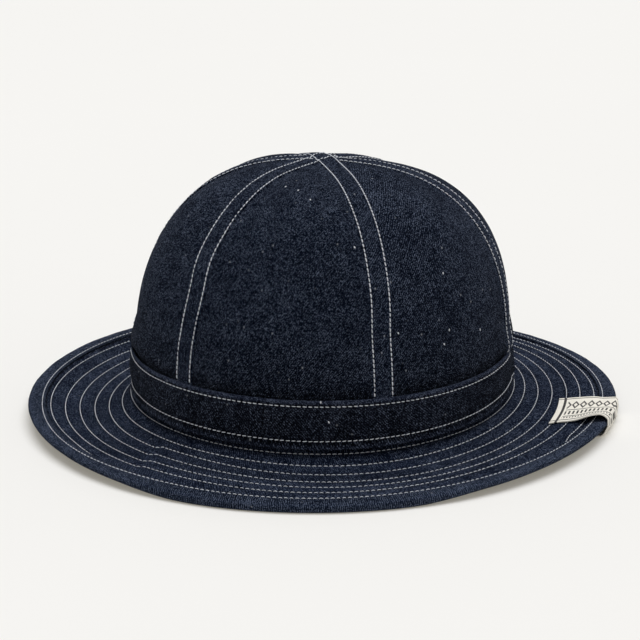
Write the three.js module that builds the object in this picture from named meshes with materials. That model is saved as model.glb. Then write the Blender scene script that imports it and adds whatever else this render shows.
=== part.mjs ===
import * as THREE from 'three';

// Soft round denim hat lying on its brim. Millimetres, +Z up, front towards -Y.
// The origin is on the surface that the hat rests on, below the middle of the crown.
// Every ring of the hat is one base oval, grown or shrunk by an offset. A turn is the
// angle round that oval, from the front towards the wearer's left, which is +X.

// Base oval, which is the outer face of the hatband at its lower stitch
const OVAL_HALF_WIDTH = 90.2;
const OVAL_HALF_LENGTH = 99.2;

// Cloth thicknesses, and the gap left between sewn pieces
const CROWN_WALL = 1.6;
const BAND_WALL = 1.3;
const BRIM_BOARD = 2.0;
const BINDING_WALL = 1.0;
const LABEL_WALL = 0.9;
const SEWING_GAP = 0.3;

// Crown, a dome whose upright curve at each seam is a superellipse: the height power
// straightens its side and the reach power flattens its top
const CROWN_TOP_HEIGHT = 117.2;
const CROWN_OFFSET = -5.0;
const CROWN_FOOT_OFFSET = -1.9;
const CROWN_SPRING_RISE = 1.8;
const CROWN_TIP_SWEEP = 89.5;
const SHOULDER_PUFF = 1.3;
const TOP_PUFF = 1.6;

// Felled seams between the six panels. At each seam one panel ends in a thick lap,
// and fold is 1 where the lap's folded edge faces the rising turn
const LAP_WIDTH = 10.4;
const LAP_RISE = 0.9;
const LAP_STEP = 0.6;
const LAP_WIDEST_TURN = 24;
const SEAMS = [
  { turn: -28.4, fold: 1, heightPower: 2.2, reachPower: 3.7 },
  { turn: 34.3, fold: 1, heightPower: 2.95, reachPower: 3.9 },
  { turn: 93.0, fold: 1, heightPower: 2.45, reachPower: 2.8 },
  { turn: 150.0, fold: 1, heightPower: 1.95, reachPower: 2.0 },
  { turn: 214.0, fold: -1, heightPower: 1.85, reachPower: 1.95 },
  { turn: 276.0, fold: 1, heightPower: 1.95, reachPower: 2.9 },
];
const PANEL_NAMES = [
  'crown_panel_front',
  'crown_panel_front_left',
  'crown_panel_back_left',
  'crown_panel_back',
  'crown_panel_back_right',
  'crown_panel_front_right',
];

// Rings of cloth, each with its height at the front, left, back and right of the hat
// and how far the front half is twisted between them.
// Outer face of the hatband, from its lower edge up
const BAND_RINGS = [
  { offset: 0.5, front: 13.1, left: 14.2, back: 13.2, right: 13.7, twist: -1.3 },
  { offset: 0.0, front: 17.0, left: 18.1, back: 17.1, right: 17.6, twist: -1.3 },
  { offset: -1.5, front: 24.3, left: 24.1, back: 24.8, right: 24.1, twist: -0.7 },
  { offset: -3.1, front: 31.4, left: 29.7, back: 32.0, right: 30.3, twist: -0.2 },
  { offset: -3.7, front: 34.0, left: 32.3, back: 34.6, right: 32.9, twist: -0.2 },
];
// Upper face of the brim, from the head opening out
const BRIM_RINGS = [
  { offset: -5.3, front: 13.4, left: 13.2, back: 12.8, right: 12.6, twist: -0.6 },
  { offset: -2.4, front: 10.8, left: 11.3, back: 11.2, right: 10.5, twist: -1.1 },
  { offset: 2.6, front: 7.6, left: 9.6, back: 8.5, right: 4.3, twist: -2.6 },
  { offset: 8.7, front: 5.9, left: 8.1, back: 7.3, right: 3.6, twist: -2.5 },
  { offset: 15.2, front: 4.8, left: 7.5, back: 6.0, right: 2.8, twist: -2.5 },
  { offset: 21.7, front: 4.3, left: 7.5, back: 5.2, right: 3.4, twist: -1.8 },
  { offset: 28.1, front: 4.3, left: 7.9, back: 4.4, right: 4.2, twist: -1.4 },
  { offset: 34.4, front: 3.8, left: 7.0, back: 3.7, right: 5.6, twist: -0.8 },
  { offset: 38.3, front: 4.2, left: 6.5, back: 3.9, right: 6.3, twist: 0.0 },
  { offset: 42.9, front: 2.8, left: 6.2, back: 2.8, right: 6.0, twist: 0.0 },
];

// Edge binding, folded over the brim's edge and flattened where it lies
const BINDING_INNER_OFFSET = 37.0;
const BINDING_FLAT_START = 40.2;
const BINDING_SHOULDER_OFFSET = 43.9;
const BINDING_OUTER_OFFSET = 44.8;
const BINDING_MIDDLE_DROP = 0.9;
const BINDING_EDGE_ROUNDING = 0.2;

// Woven label, folded over the brim's edge on the wearer's left
const LABEL_MIDDLE = new THREE.Vector2(132.4, 6.4);
const LABEL_SKEW = 21.3;
const LABEL_WIDTH = 31.5;
const LABEL_OVERHANG = 0.6;
const LABEL_LIFT = 1.8;
const LABEL_LIFT_MIDDLE = 6.5;
const LABEL_LIFT_SPREAD = 7;
const LABEL_BRIDGE_START = 27;
const LABEL_UNDER_FLAT = 9;
const LABEL_UNDER_LENGTH = 20;
const LABEL_TOP_STATIONS = [26.7, 21, 15, 11, 8, 5, 2.4, 0.2];
const LABEL_UNDER_STATIONS = [0.2, 5, LABEL_UNDER_FLAT, 14, LABEL_UNDER_LENGTH];

// Steps of the faceted surfaces
const RING_STEPS = 72;
const PANEL_STEPS = 7;
const FOOT_STEPS = 2;
const DOME_STEPS = 12;
const LABEL_STEPS = 4;

const radians = THREE.MathUtils.degToRad;
const degrees = THREE.MathUtils.radToDeg;
const mix = THREE.MathUtils.lerp;

function ovalPoint(turn, offset, height) {
  const x = (OVAL_HALF_WIDTH + offset) * Math.sin(radians(turn));
  const y = -(OVAL_HALF_LENGTH + offset) * Math.cos(radians(turn));
  return new THREE.Vector3(x, y, height);
}

function ovalPlace(x, y) {
  // The offset and the turn of the ring through a point of the plan, by Newton steps
  let offset = Math.hypot(x, y) - (OVAL_HALF_WIDTH + OVAL_HALF_LENGTH) / 2;
  for (let step = 0; step < 8; step += 1) {
    const width = OVAL_HALF_WIDTH + offset;
    const length = OVAL_HALF_LENGTH + offset;
    const excess = (x / width) ** 2 + (y / length) ** 2 - 1;
    offset += excess / (2 * (x ** 2 / width ** 3 + y ** 2 / length ** 3));
  }
  const across = x / (OVAL_HALF_WIDTH + offset);
  const along = -y / (OVAL_HALF_LENGTH + offset);
  return { offset, turn: degrees(Math.atan2(across, along)) };
}

function ringHeight(ring, turn) {
  const angle = radians(turn);
  const mean = (ring.front + ring.back + ring.left + ring.right) / 4;
  const pitch = ((ring.front - ring.back) / 2) * Math.cos(angle);
  const roll = ((ring.left - ring.right) / 2) * Math.sin(angle);
  const saddle = ((ring.front + ring.back - ring.left - ring.right) / 4) * Math.cos(2 * angle);
  const twist = ring.twist * Math.sin(2 * angle) * (0.5 + 0.5 * Math.cos(angle));
  return mean + pitch + roll + saddle + twist;
}

function brimTop(turn, offset) {
  let index = 1;
  while (index < BRIM_RINGS.length - 1 && BRIM_RINGS[index].offset < offset) {
    index += 1;
  }
  const inner = BRIM_RINGS[index - 1];
  const outer = BRIM_RINGS[index];
  const share = (offset - inner.offset) / (outer.offset - inner.offset);
  return mix(ringHeight(inner, turn), ringHeight(outer, turn), share);
}

// Closed bodies

function closedBody(points, triangles) {
  let volume = 0;
  for (const [a, b, c] of triangles) {
    volume += points[a].dot(new THREE.Vector3().crossVectors(points[b], points[c]));
  }
  const outward = volume > 0 ? triangles : triangles.map(([a, b, c]) => [a, c, b]);
  const positions = points.flatMap((point) => point.toArray());
  const geometry = new THREE.BufferGeometry();
  geometry.setAttribute('position', new THREE.Float32BufferAttribute(positions, 3));
  geometry.setIndex(outward.flat());
  geometry.computeVertexNormals();
  return geometry;
}

function ringBody(sectionAt) {
  // A closed section swept once round the oval
  const sections = [];
  for (let step = 0; step < RING_STEPS; step += 1) {
    sections.push(sectionAt((360 * step) / RING_STEPS));
  }
  const size = sections[0].length;
  const triangles = [];
  for (let step = 0; step < RING_STEPS; step += 1) {
    const here = step * size;
    const there = ((step + 1) % RING_STEPS) * size;
    for (let corner = 0; corner < size; corner += 1) {
      const next = (corner + 1) % size;
      triangles.push([here + corner, there + corner, there + next]);
      triangles.push([here + corner, there + next, here + next]);
    }
  }
  return closedBody(sections.flat(), triangles);
}

function gridNormal(grid, row, column) {
  const rowAbove = grid[Math.min(row + 1, grid.length - 1)][column];
  const rowBelow = grid[Math.max(row - 1, 0)][column];
  const right = grid[row][Math.min(column + 1, grid[row].length - 1)];
  const left = grid[row][Math.max(column - 1, 0)];
  const up = rowAbove.clone().sub(rowBelow);
  return right.clone().sub(left).cross(up).normalize();
}

function offsetGrid(grid, distanceAt) {
  return grid.map((points, row) =>
    points.map((point, column) => {
      const normal = gridNormal(grid, row, column);
      return point.clone().addScaledVector(normal, distanceAt(row, column));
    }),
  );
}

function sheetBody(outer, inner) {
  // Two grids of points, the faces of one sheet, closed along its four edges
  const rows = outer.length;
  const columns = outer[0].length;
  const triangles = [];
  const quad = (a, b, c, d) => triangles.push([a, b, c], [a, c, d]);
  const at = (row, column, side) => side * rows * columns + row * columns + column;
  for (let row = 0; row < rows - 1; row += 1) {
    for (let column = 0; column < columns - 1; column += 1) {
      const corners = [
        [row, column],
        [row, column + 1],
        [row + 1, column + 1],
        [row + 1, column],
      ];
      quad(...corners.map(([r, c]) => at(r, c, 0)));
      quad(...corners.reverse().map(([r, c]) => at(r, c, 1)));
    }
  }
  for (let column = 0; column < columns - 1; column += 1) {
    quad(at(0, column + 1, 0), at(0, column, 0), at(0, column, 1), at(0, column + 1, 1));
    const last = rows - 1;
    quad(at(last, column, 0), at(last, column + 1, 0), at(last, column + 1, 1), at(last, column, 1));
  }
  for (let row = 0; row < rows - 1; row += 1) {
    quad(at(row, 0, 0), at(row + 1, 0, 0), at(row + 1, 0, 1), at(row, 0, 1));
    const last = columns - 1;
    quad(at(row + 1, last, 0), at(row, last, 0), at(row, last, 1), at(row + 1, last, 1));
  }
  return closedBody([...outer.flat(), ...inner.flat()], triangles);
}

// Crown

function seamTurn(index) {
  // Seams count on past the last one, a whole turn further round
  const laps = Math.floor(index / SEAMS.length);
  return SEAMS[index % SEAMS.length].turn + 360 * laps;
}

function panelPlace(turn) {
  // The seams on both sides of a turn, and the turn's share of the way between them
  const firstTurn = SEAMS[0].turn;
  const wrapped = THREE.MathUtils.euclideanModulo(turn - firstTurn, 360) + firstTurn;
  let index = SEAMS.length - 1;
  while (SEAMS[index].turn > wrapped) {
    index -= 1;
  }
  const share = (wrapped - seamTurn(index)) / (seamTurn(index + 1) - seamTurn(index));
  return { first: SEAMS[index], second: SEAMS[(index + 1) % SEAMS.length], share };
}

function footPoint(turn, share) {
  // The stretch of the crown behind the hatband
  const bandTop = BAND_RINGS[BAND_RINGS.length - 1];
  const low = brimTop(turn, CROWN_FOOT_OFFSET - CROWN_WALL) + 2 * SEWING_GAP;
  const high = ringHeight(bandTop, turn) + SEWING_GAP;
  const tucked = bandTop.offset - BAND_WALL - SEWING_GAP;
  return ovalPoint(turn, mix(CROWN_FOOT_OFFSET, tucked, share), mix(low, high, share));
}

function domeShares(place, sweep) {
  // Reach and rise of the dome, as shares of its size, where a ray meets its curve
  const blend = THREE.MathUtils.smoothstep(place.share, 0, 1);
  const heightPower = mix(place.first.heightPower, place.second.heightPower, blend);
  const reachPower = mix(place.first.reachPower, place.second.reachPower, blend);
  let low = 0;
  let high = 2;
  for (let step = 0; step < 30; step += 1) {
    const ray = (low + high) / 2;
    const reach = (ray * Math.cos(sweep)) ** reachPower;
    const rise = (ray * Math.sin(sweep)) ** heightPower;
    if (reach + rise < 1) {
      low = ray;
    } else {
      high = ray;
    }
  }
  return { reach: low * Math.cos(sweep), rise: low * Math.sin(sweep) };
}

function domePoint(turn, share) {
  const sweep = radians(CROWN_TIP_SWEEP) * share;
  const place = panelPlace(turn);
  const { reach, rise } = domeShares(place, sweep);
  const spring = ringHeight(BAND_RINGS[BAND_RINGS.length - 1], turn) + CROWN_SPRING_RISE;
  const rim = ovalPoint(turn, CROWN_OFFSET, 0);
  const middle = Math.sin(Math.PI * place.share) ** 2;
  const shoulder = SHOULDER_PUFF * Math.sin(2 * sweep) * middle;
  const top = TOP_PUFF * Math.sin(sweep) ** 4 * Math.sin(Math.PI * reach) * middle;
  const point = rim.clone().multiplyScalar(reach + shoulder / rim.length());
  point.z = mix(spring, CROWN_TOP_HEIGHT, rise) + shoulder * Math.sin(sweep) + top;
  return point;
}

function crownPoint(turn, row) {
  if (row <= FOOT_STEPS) {
    return footPoint(turn, row / FOOT_STEPS);
  }
  return domePoint(turn, (row - FOOT_STEPS - 1) / DOME_STEPS);
}

function lapTurn(middleTurn, row) {
  // The turn that a lap's width takes up, which grows towards the top of the crown
  const point = crownPoint(middleTurn, row);
  const full = degrees(LAP_WIDTH / Math.hypot(point.x, point.y));
  return Math.min(full, LAP_WIDEST_TURN);
}

function panelColumns(index, row) {
  // Turns and rises of a panel's columns, from its first seam to its second
  const first = SEAMS[index];
  const second = SEAMS[(index + 1) % SEAMS.length];
  const secondTurn = seamTurn(index + 1);
  const middle = crownPoint((first.turn + secondTurn) / 2, row);
  const perMillimetre = degrees(1 / Math.hypot(middle.x, middle.y));
  const gap = Math.min((SEWING_GAP / 2) * perMillimetre, LAP_WIDEST_TURN / 8);
  const step = Math.min(LAP_STEP * perMillimetre, LAP_WIDEST_TURN / 6);
  const start = first.turn + (first.fold * lapTurn(first.turn, row)) / 2 + gap;
  const end = secondTurn + (second.fold * lapTurn(secondTurn, row)) / 2 - gap;
  const startLap = first.fold < 0 ? lapTurn(first.turn, row) : 0;
  const endLap = second.fold > 0 ? lapTurn(secondTurn, row) : 0;
  const columns = [];
  if (startLap > 0) {
    columns.push({ turn: start, lap: 1 }, { turn: start + startLap - step, lap: 1 });
  }
  for (let column = 0; column <= PANEL_STEPS; column += 1) {
    const turn = mix(start + startLap, end - endLap, column / PANEL_STEPS);
    columns.push({ turn, lap: 0 });
  }
  if (endLap > 0) {
    columns.push({ turn: end - endLap + step, lap: 1 }, { turn: end, lap: 1 });
  }
  return columns;
}

function crownPanel(index) {
  const rowCount = FOOT_STEPS + DOME_STEPS + 2;
  const columns = Array.from({ length: rowCount }, (_, row) => panelColumns(index, row));
  const face = columns.map((line, row) => line.map((column) => crownPoint(column.turn, row)));
  const riseAt = (row, column) =>
    row > FOOT_STEPS && columns[row][column].lap ? LAP_RISE : 0;
  const outer = offsetGrid(face, riseAt);
  const inner = offsetGrid(face, () => -CROWN_WALL);
  return sheetBody(outer, inner);
}

// Hatband, brim and edge binding

function bandSection(turn) {
  const face = (depth) =>
    BAND_RINGS.map((ring) => ovalPoint(turn, ring.offset - depth, ringHeight(ring, turn)));
  return [...face(0), ...face(BAND_WALL).reverse()];
}

function brimSection(turn) {
  const upper = BRIM_RINGS.map((ring) => ovalPoint(turn, ring.offset, ringHeight(ring, turn)));
  const lower = upper.map((point) => point.clone().setZ(point.z - BRIM_BOARD));
  return [...upper, ...lower.reverse()];
}

function bindingSection(turn) {
  const bend = BRIM_RINGS[BRIM_RINGS.length - 2].offset;
  const boardEdge = BRIM_RINGS[BRIM_RINGS.length - 1].offset;
  const top = (offset) => brimTop(turn, Math.min(offset, boardEdge));
  const skin = SEWING_GAP + BINDING_WALL;
  const under = (offset) => Math.max(0, top(offset) - BRIM_BOARD - skin);
  const above = (offset, lift) => ovalPoint(turn, offset, top(offset) + lift);
  const below = (offset, drop) => ovalPoint(turn, offset, top(offset) - BRIM_BOARD - drop);
  const slot = boardEdge + SEWING_GAP;
  return [
    above(BINDING_INNER_OFFSET, skin),
    above(bend, skin),
    above(boardEdge, skin - BINDING_EDGE_ROUNDING),
    above(BINDING_OUTER_OFFSET, -BINDING_MIDDLE_DROP),
    ovalPoint(turn, BINDING_SHOULDER_OFFSET, under(boardEdge)),
    ovalPoint(turn, BINDING_FLAT_START, under(boardEdge)),
    ovalPoint(turn, BINDING_INNER_OFFSET, under(BINDING_INNER_OFFSET)),
    below(BINDING_INNER_OFFSET, SEWING_GAP),
    below(bend, SEWING_GAP),
    below(slot, SEWING_GAP),
    above(slot, SEWING_GAP),
    above(bend, SEWING_GAP),
    above(BINDING_INNER_OFFSET, SEWING_GAP),
  ];
}

// Label

function labelPlan(inward, sideways) {
  // A point of the plan, so far inside the brim's edge along the label's own axis
  const axis = new THREE.Vector2(1, 0).rotateAround(new THREE.Vector2(), radians(LABEL_SKEW));
  const across = new THREE.Vector2(-axis.y, axis.x);
  const edge = LABEL_MIDDLE.clone().addScaledVector(across, sideways);
  for (let step = 0; step < 4; step += 1) {
    edge.addScaledVector(axis, BINDING_OUTER_OFFSET - ovalPlace(edge.x, edge.y).offset);
  }
  return edge.addScaledVector(axis, -inward);
}

function labelTopPoint(inward, sideways) {
  const plan = labelPlan(inward, sideways);
  const place = ovalPlace(plan.x, plan.y);
  const boardEdge = BRIM_RINGS[BRIM_RINGS.length - 1].offset;
  const board = brimTop(place.turn, Math.min(place.offset, boardEdge));
  const overBinding = THREE.MathUtils.smoothstep(
    place.offset,
    LABEL_BRIDGE_START,
    BINDING_INNER_OFFSET,
  );
  const binding = (SEWING_GAP + BINDING_WALL) * overBinding;
  const nearSide = 0.5 - sideways / LABEL_WIDTH;
  const away = (inward - LABEL_LIFT_MIDDLE) / LABEL_LIFT_SPREAD;
  const lift = LABEL_LIFT * nearSide ** 2 * Math.exp(-(away ** 2));
  const height = board + binding + SEWING_GAP + LABEL_WALL / 2 + lift;
  return new THREE.Vector3(plan.x, plan.y, height);
}

function labelUnderPoint(inward, sideways) {
  const plan = labelPlan(inward, sideways);
  const place = ovalPlace(plan.x, plan.y);
  const onFloor = LABEL_WALL / 2;
  const board = brimTop(place.turn, Math.min(place.offset, BINDING_INNER_OFFSET));
  const sewn = board - BRIM_BOARD - SEWING_GAP - LABEL_WALL;
  const share = THREE.MathUtils.smoothstep(inward, LABEL_UNDER_FLAT, LABEL_UNDER_LENGTH);
  return new THREE.Vector3(plan.x, plan.y, mix(onFloor, Math.max(sewn, onFloor), share));
}

function labelFoldPoint(sideways) {
  const above = labelTopPoint(0, sideways);
  const plan = labelPlan(-LABEL_OVERHANG - LABEL_WALL / 2, sideways);
  return new THREE.Vector3(plan.x, plan.y, mix(LABEL_WALL / 2, above.z, 0.5));
}

function labelBody() {
  const sides = Array.from({ length: LABEL_STEPS + 1 }, (_, step) =>
    mix(-LABEL_WIDTH / 2, LABEL_WIDTH / 2, step / LABEL_STEPS),
  );
  const grid = [
    ...LABEL_TOP_STATIONS.map((inward) => sides.map((side) => labelTopPoint(inward, side))),
    sides.map((side) => labelFoldPoint(side)),
    ...LABEL_UNDER_STATIONS.map((inward) => sides.map((side) => labelUnderPoint(inward, side))),
  ];
  const outer = offsetGrid(grid, () => LABEL_WALL / 2);
  const inner = offsetGrid(grid, () => -LABEL_WALL / 2);
  return sheetBody(outer, inner);
}

// Assembly

function cloth(name, color) {
  return new THREE.MeshStandardMaterial({ name, color, roughness: 0.92, metalness: 0 });
}

const crownDenim = cloth('crown_denim', 0x252d40);
const bandDenim = cloth('band_denim', 0x1c2436);
const brimDenim = cloth('brim_denim', 0x232b3d);
const bindingDenim = cloth('binding_denim', 0x252f44);
const labelWeave = cloth('label_weave', 0xe6dfd0);

const hat = new THREE.Group();

function addPiece(name, geometry, material) {
  const mesh = new THREE.Mesh(geometry, material);
  mesh.name = name;
  hat.add(mesh);
}

PANEL_NAMES.forEach((name, index) => addPiece(name, crownPanel(index), crownDenim));
addPiece('hatband', ringBody(bandSection), bandDenim);
addPiece('brim', ringBody(brimSection), brimDenim);
addPiece('edge_binding', ringBody(bindingSection), bindingDenim);
addPiece('edge_label', labelBody(), labelWeave);

export default hat;
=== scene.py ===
import math
import random

from functools import lru_cache

import bmesh
import bpy
from mathutils import Matrix, Vector, noise


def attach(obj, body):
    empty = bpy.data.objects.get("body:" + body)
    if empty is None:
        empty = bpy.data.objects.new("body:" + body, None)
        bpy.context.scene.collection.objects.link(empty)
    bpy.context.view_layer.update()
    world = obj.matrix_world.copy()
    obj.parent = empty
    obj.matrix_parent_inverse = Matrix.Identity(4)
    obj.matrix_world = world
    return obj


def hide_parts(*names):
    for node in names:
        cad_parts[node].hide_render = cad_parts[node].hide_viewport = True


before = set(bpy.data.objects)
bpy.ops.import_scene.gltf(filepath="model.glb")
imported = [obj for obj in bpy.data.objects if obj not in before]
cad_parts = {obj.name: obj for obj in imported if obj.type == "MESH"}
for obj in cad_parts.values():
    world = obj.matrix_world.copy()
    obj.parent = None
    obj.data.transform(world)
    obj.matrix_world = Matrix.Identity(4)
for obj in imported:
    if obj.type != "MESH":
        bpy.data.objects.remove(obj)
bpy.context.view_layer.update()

bl_info = {
    "name": "Denim hat",
    "version": (1, 0, 0),
    "blender": (4, 5, 0),
    "location": "3D View > Sidebar > Hat",
    "description": "Cloth, seams, stitches and label of a round denim hat",
    "category": "Object",
}

# The hat lies on its brim, front towards -Y, and a turn is the angle from the front
# towards the wearer's left, +X. Lengths below are in millimetres unless a name says not.
MM = 0.001
SEED = 7

# Thickness of the cloths, and the spring of the crown above the hatband
CROWN_WALL = 1.4
BAND_WALL = 1.2
BRIM_BOARD = 1.4
BINDING_WALL = 1.0
LABEL_WALL = 0.8
SEWING_GAP = 0.3
CROWN_OFFSET = -5.0
CROWN_FOOT_OFFSET = -1.9
CROWN_SPRING_RISE = 1.8
SHOULDER_PUFF = 1.3
TOP_PUFFS = (1.5, 0.9, -1.6, -0.6, 0.6, 0.8)

# Seams of the crown: turn at the foot, side of the folded edge, the powers of the upright
# curve, and how many degrees the seam has drifted at each tenth of the way up
SEAMS = (
    {"turn": -28.4, "fold": 1, "height_power": 2.2, "reach_power": 3.7,
     "drift": (0, 0.5, 1.6, 2.5, 2.3, 3.5, 4.1, 3.4, 1.2, 0, 0)},
    {"turn": 34.3, "fold": 1, "height_power": 2.95, "reach_power": 3.9,
     "drift": (0, -0.3, -0.7, -0.5, -0.8, -1.2, -1.6, -1.4, -0.6, 0, 0)},
    {"turn": 93.0, "fold": 1, "height_power": 2.45, "reach_power": 2.8, "drift": (0,) * 11},
    {"turn": 150.0, "fold": 1, "height_power": 1.95, "reach_power": 2.0, "drift": (0,) * 11},
    {"turn": 214.0, "fold": -1, "height_power": 1.85, "reach_power": 1.95, "drift": (0,) * 11},
    {"turn": 276.0, "fold": 1, "height_power": 1.95, "reach_power": 2.65, "drift": (0,) * 11},
)
PANELS = ("front", "front_left", "back_left", "back", "back_right", "front_right")
LONG_SEAM = (1, 4)
LAP_HALF_WIDTH = 5.2
LAP_STITCH = 4.15
LAP_RISE = 0.9
LAP_WALL = 0.7
LAP_OVERLAP = 1.4
LAP_EDGE = 0.05

# Share of a panel's height behind the hatband, and how far short of the top a lap ends
FOOT_SHARE = 0.1
LAP_SHORTFALL = 0.012

# Rows of faces in a sheet, from the foot of a seam to the top
SEAM_ROWS = 84

# Rings of cloth: offset from the base oval, heights at the front, left, back and right,
# and the twist of the front half
BAND_RINGS = (
    (0.5, 13.1, 14.2, 13.2, 13.7, -1.3),
    (0.0, 17.0, 18.1, 17.1, 17.6, -1.3),
    (-1.5, 24.3, 24.1, 24.8, 24.1, -0.7),
    (-3.1, 31.4, 29.7, 32.0, 30.3, -0.2),
    (-3.7, 34.0, 32.3, 34.6, 32.9, -0.2),
)
BRIM_RINGS = (
    (-5.3, 13.2, 13.0, 12.6, 12.4, -0.6),
    (-2.4, 10.4, 10.9, 10.8, 10.1, -1.1),
    (2.6, 7.2, 9.2, 8.1, 3.9, -2.7),
    (8.7, 5.3, 7.6, 6.8, 3.1, -2.7),
    (15.2, 4.4, 7.1, 5.6, 2.5, -2.9),
    (21.7, 4.1, 7.2, 4.9, 3.1, -2.4),
    (28.1, 3.9, 7.5, 4.0, 4.1, -2.1),
    (34.4, 3.5, 6.7, 3.4, 5.8, -1.5),
    (38.3, 3.8, 6.1, 3.5, 6.8, -0.7),
    (42.9, 2.7, 5.9, 2.7, 6.8, -0.7),
)
BOARD_EDGE = 42.9
BRIM_ROWS = (-2.4, 2.6, 8.7, 15.2, 21.7, 28.1, 34.4)
BINDING_ROW = 38.3
BINDING_INNER = 37.0
BINDING_FLAT = 40.2
BINDING_OUTER = 44.8
BINDING_SKIN = 1.15
BINDING_SHEET_WALL = 0.55
BINDING_SHEET_HEIGHT = 22
BINDING_STRAY = {"turn": -42.0, "reach": 30.0, "size": 1.8}

# Share of the hatband's sheet that curls in at each edge, and height of the whole sheet
BAND_EDGE = 0.08
BAND_SHEET_HEIGHT = 21

# Where the hatband's ends are joined: turn, height of the ridge, and how many degrees the
# upper row stops short of it and the dip lies before it
BAND_JOINT = 100.0
BAND_JOINT_RISE = 0.7
BAND_JOINT_GAP = 4.0
BAND_JOINT_STEP = 3.6

# At the hat's sides the hatband's foot is tucked in and the crown spills over its top
SIDE_TUCKS = (
    {"turn": -75.0, "reach": 52.0, "foot": 2.7, "spill": 2.5, "belly": 1.2, "row": -1.0},
    {"turn": 105.0, "reach": 52.0, "foot": 3.0, "spill": 1.6, "belly": 0.2, "row": 0.0},
)

# Stretches of the brim's edge that turn up a little, beyond an offset
EDGE_LIFTS = (
    {"turn": 64.0, "reach": 45.0, "rise": 0.9, "from": 38.0},
    {"turn": -48.0, "reach": 40.0, "rise": 0.6, "from": 38.0},
    {"turn": -118.0, "reach": 42.0, "rise": 0.9, "from": 26.0},
)

# Where a row of the brim's stitching steps inwards, and how far it strays before and after
ROW_STEPS = (
    {"row": 8.7, "turn": -29.9, "before": 0.9, "after": -1.3},
    {"row": 15.2, "turn": -28.0, "before": 1.3, "after": -1.2},
    {"row": 21.7, "turn": -26.3, "before": 1.5, "after": -1.2},
    {"row": 28.1, "turn": -25.0, "before": 1.4, "after": -0.7},
)

# The outermost row runs under the binding between these turns, and eases in and out
HIDDEN_ROW = {
    "row": 34.4, "from": -24.0, "until": 70.0, "shift": 3.2, "ease_in": 24.0, "ease_out": 8.0,
}

# Label, folded over the brim's edge
LABEL_MIDDLE = (132.4, 6.4)
LABEL_SKEW = 21.3
LABEL_WIDTH = 31.5
LABEL_LENGTH = 26.7
LABEL_UNDER_LENGTH = 20.0
LABEL_OVERHANG = 0.2
LABEL_LIFT = 2.6
LABEL_LIFT_MIDDLE = 5.0
LABEL_LIFT_SPREAD = 7.0
LABEL_ROUNDING = 3.4
LABEL_CURL = 2.6
LABEL_BRIDGE_START = 27.0
LABEL_YARN_BEAT = 11.0

# Pale knots in the weave that catch the eye: turn and share of the way up the crown
CROWN_SLUBS = (
    (10.8, 0.628), (27.2, 0.461), (56.5, 0.350), (39.0, 0.197), (56.5, 0.175),
    (70.5, 0.139), (54.5, 0.133), (3.5, 0.672), (-5.2, 0.694),
)
BAND_SLUBS = ((16.0, 0.95), (18.2, 0.52))

# The picture's own viewpoint
VIEW_AZIMUTH = 15.3
VIEW_ELEVATION = 16.83
VIEW_DISTANCE = 1.3455
VIEW_LENS = 164.53
VIEW_SIDE = -0.00152
VIEW_HEIGHT = 0.0414

# Light and floor of the stage: strengths, and angles in degrees
SKY_STRENGTH = 0.42
SUN_STRENGTH = 2.08
SUN_SPREAD = 60
SUN_TILT = -12
SUN_ROLL = 2
FLOOR_SIZE = 6

# Points on the path of a row of stitches that runs round the hat
RING_SAMPLES = 720


class HatSizes(bpy.types.PropertyGroup):
    half_width: bpy.props.FloatProperty(
        name="Half width", description="Half the width of the head oval at the hatband's foot",
        default=0.0902, unit="LENGTH")
    half_length: bpy.props.FloatProperty(
        name="Half length", description="Half the length of the head oval at the hatband's foot",
        default=0.0992, unit="LENGTH")
    crown_height: bpy.props.FloatProperty(
        name="Crown height", description="Height of the middle of the crown",
        default=0.1172, unit="LENGTH")
    stitch_pitch: bpy.props.FloatProperty(
        name="Stitch pitch", description="Distance from one stitch to the next",
        default=0.00245, unit="LENGTH")
    stitch_length: bpy.props.FloatProperty(
        name="Stitch length", description="Length of thread that shows in one stitch",
        default=0.0020, unit="LENGTH")
    thread_width: bpy.props.FloatProperty(
        name="Thread width", description="Width of the sewing thread",
        default=0.00055, unit="LENGTH")


class HatColours(bpy.types.PropertyGroup):
    crown: bpy.props.FloatVectorProperty(
        name="Crown", description="Indigo of the crown", subtype="COLOR",
        default=(0.0011, 0.0031, 0.0096))
    band: bpy.props.FloatVectorProperty(
        name="Hatband", description="Indigo of the hatband", subtype="COLOR",
        default=(0.0018, 0.0026, 0.0058))
    brim: bpy.props.FloatVectorProperty(
        name="Brim", description="Indigo of the brim", subtype="COLOR",
        default=(0.0018, 0.0044, 0.0135))
    binding: bpy.props.FloatVectorProperty(
        name="Binding", description="Indigo of the edge binding", subtype="COLOR",
        default=(0.0030, 0.0062, 0.0160))
    weft: bpy.props.FloatVectorProperty(
        name="Weft", description="Pale yarn that shows between the indigo ones", subtype="COLOR",
        default=(0.195, 0.232, 0.320))
    reverse: bpy.props.FloatVectorProperty(
        name="Reverse", description="Paler wrong side of the denim", subtype="COLOR",
        default=(0.060, 0.072, 0.100))
    thread: bpy.props.FloatVectorProperty(
        name="Thread", description="Sewing thread", subtype="COLOR",
        default=(0.82, 0.85, 0.92))
    label: bpy.props.FloatVectorProperty(
        name="Label", description="Cream cloth of the label", subtype="COLOR",
        default=(0.95, 0.91, 0.82))
    label_mark: bpy.props.FloatVectorProperty(
        name="Label mark", description="Dark yarn of the label's woven pattern", subtype="COLOR",
        default=(0.022, 0.021, 0.024))
    floor: bpy.props.FloatVectorProperty(
        name="Floor", description="Plain pale floor", subtype="COLOR",
        default=(0.669, 0.674, 0.684))
    # Painted glow: the floor gives off light of its own, though it is no lamp, to pale the shadows
    # near the hat
    floor_glow: bpy.props.FloatVectorProperty(
        name="Floor glow", description="Light that comes up through the pale floor",
        subtype="COLOR",
        default=(0.215, 0.200, 0.165))


def sizes():
    return bpy.context.scene.hat_sizes


def colours():
    return bpy.context.scene.hat_colours


# Shape of the hat


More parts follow.
